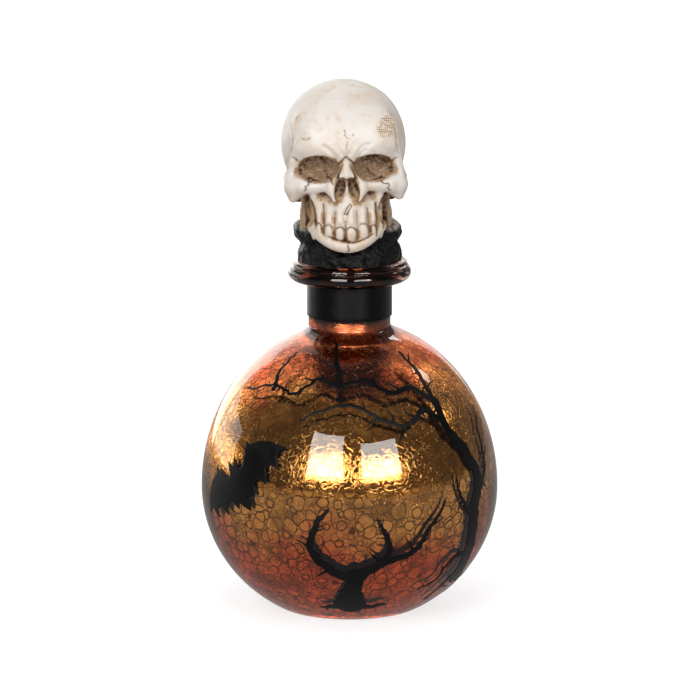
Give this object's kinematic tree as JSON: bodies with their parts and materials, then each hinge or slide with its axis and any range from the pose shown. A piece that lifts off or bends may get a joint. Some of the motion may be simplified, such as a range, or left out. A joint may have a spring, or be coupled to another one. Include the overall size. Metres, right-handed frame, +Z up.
{
  "type": "skull bottle",
  "caption": "Round glass bottle with a beaded lip, a satin ribbon round its neck and a lift-out cork stopper topped by a cast skull on a black collar.",
  "frame": {"origin": "centre of the foot ring, on the surface that the bottle stands on", "axes": "+Z up along the bottle's axis, -Y the way the skull faces, +X to the viewer's right"},
  "size_m": [0.127, 0.127, 0.2276],
  "materials": {
    "coated_glass": "clear glass over a crackled copper and gold mirror coat",
    "black_satin": "satin ribbon",
    "cork": "natural cork",
    "black_resin": "matt black paint",
    "ivory_resin": "cast resin, ivory paint with a brown wash"
  },
  "bodies": {
    "bottle": {"glass_bottle": "coated_glass", "neck_ribbon": "black_satin"},
    "stopper_cork": {"cork": "cork"},
    "stopper_head": {"skull": "ivory_resin", "skull_collar": "black_resin"}
  },
  "joints": [
    {"name": "stopper_lift", "type": "slide", "parent": "bottle", "child": "stopper_cork", "axis": [0, 0, 1], "range_m": [0, 0.04]},
    {"name": "stopper_twist", "type": "hinge", "parent": "stopper_cork", "child": "stopper_head", "pos_m": [0, 0, 0.1512], "axis": [0, 0, 1], "continuous": true}
  ]
}
